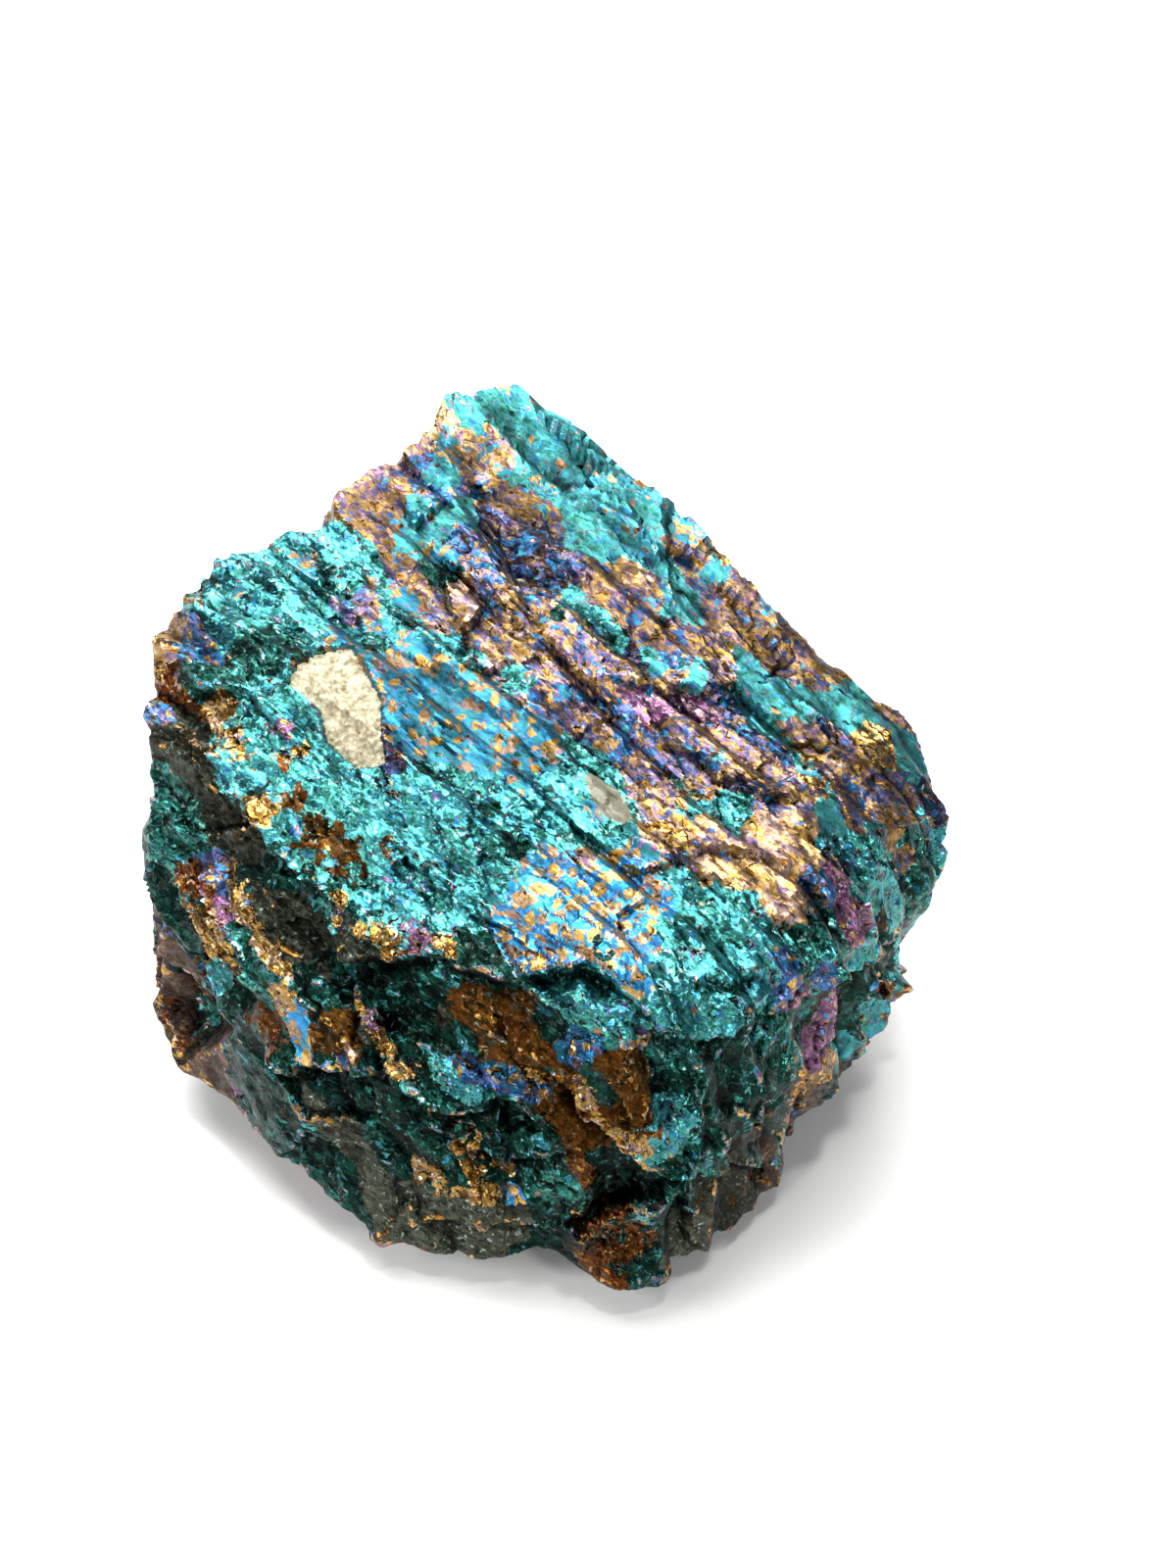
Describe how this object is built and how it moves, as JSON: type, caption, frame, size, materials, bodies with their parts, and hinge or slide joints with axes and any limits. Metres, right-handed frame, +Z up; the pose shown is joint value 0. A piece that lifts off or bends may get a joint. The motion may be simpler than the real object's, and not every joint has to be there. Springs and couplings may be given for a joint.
{
  "type": "peacock ore specimen",
  "caption": "Rough lump of iridescent peacock ore: a broad upper face, ledged and chipped sides, a small sunken quartz pocket and a flat spot to rest on.",
  "frame": {"origin": "under the middle of the lump, on the flat spot it rests on", "axes": "+Z up, square to the rest spot; -Y is the ridged front, +X its right-hand side; Z is the lump's least extent"},
  "size_m": [0.0478, 0.0482, 0.0306],
  "materials": {
    "tarnish_film": "iridescent metallic tarnish film, teal and blue with gold, copper and magenta patches",
    "quartz": "cream-white granular quartz"
  },
  "bodies": {
    "root": {"peacock_ore": "tarnish_film"}
  },
  "joints": []
}
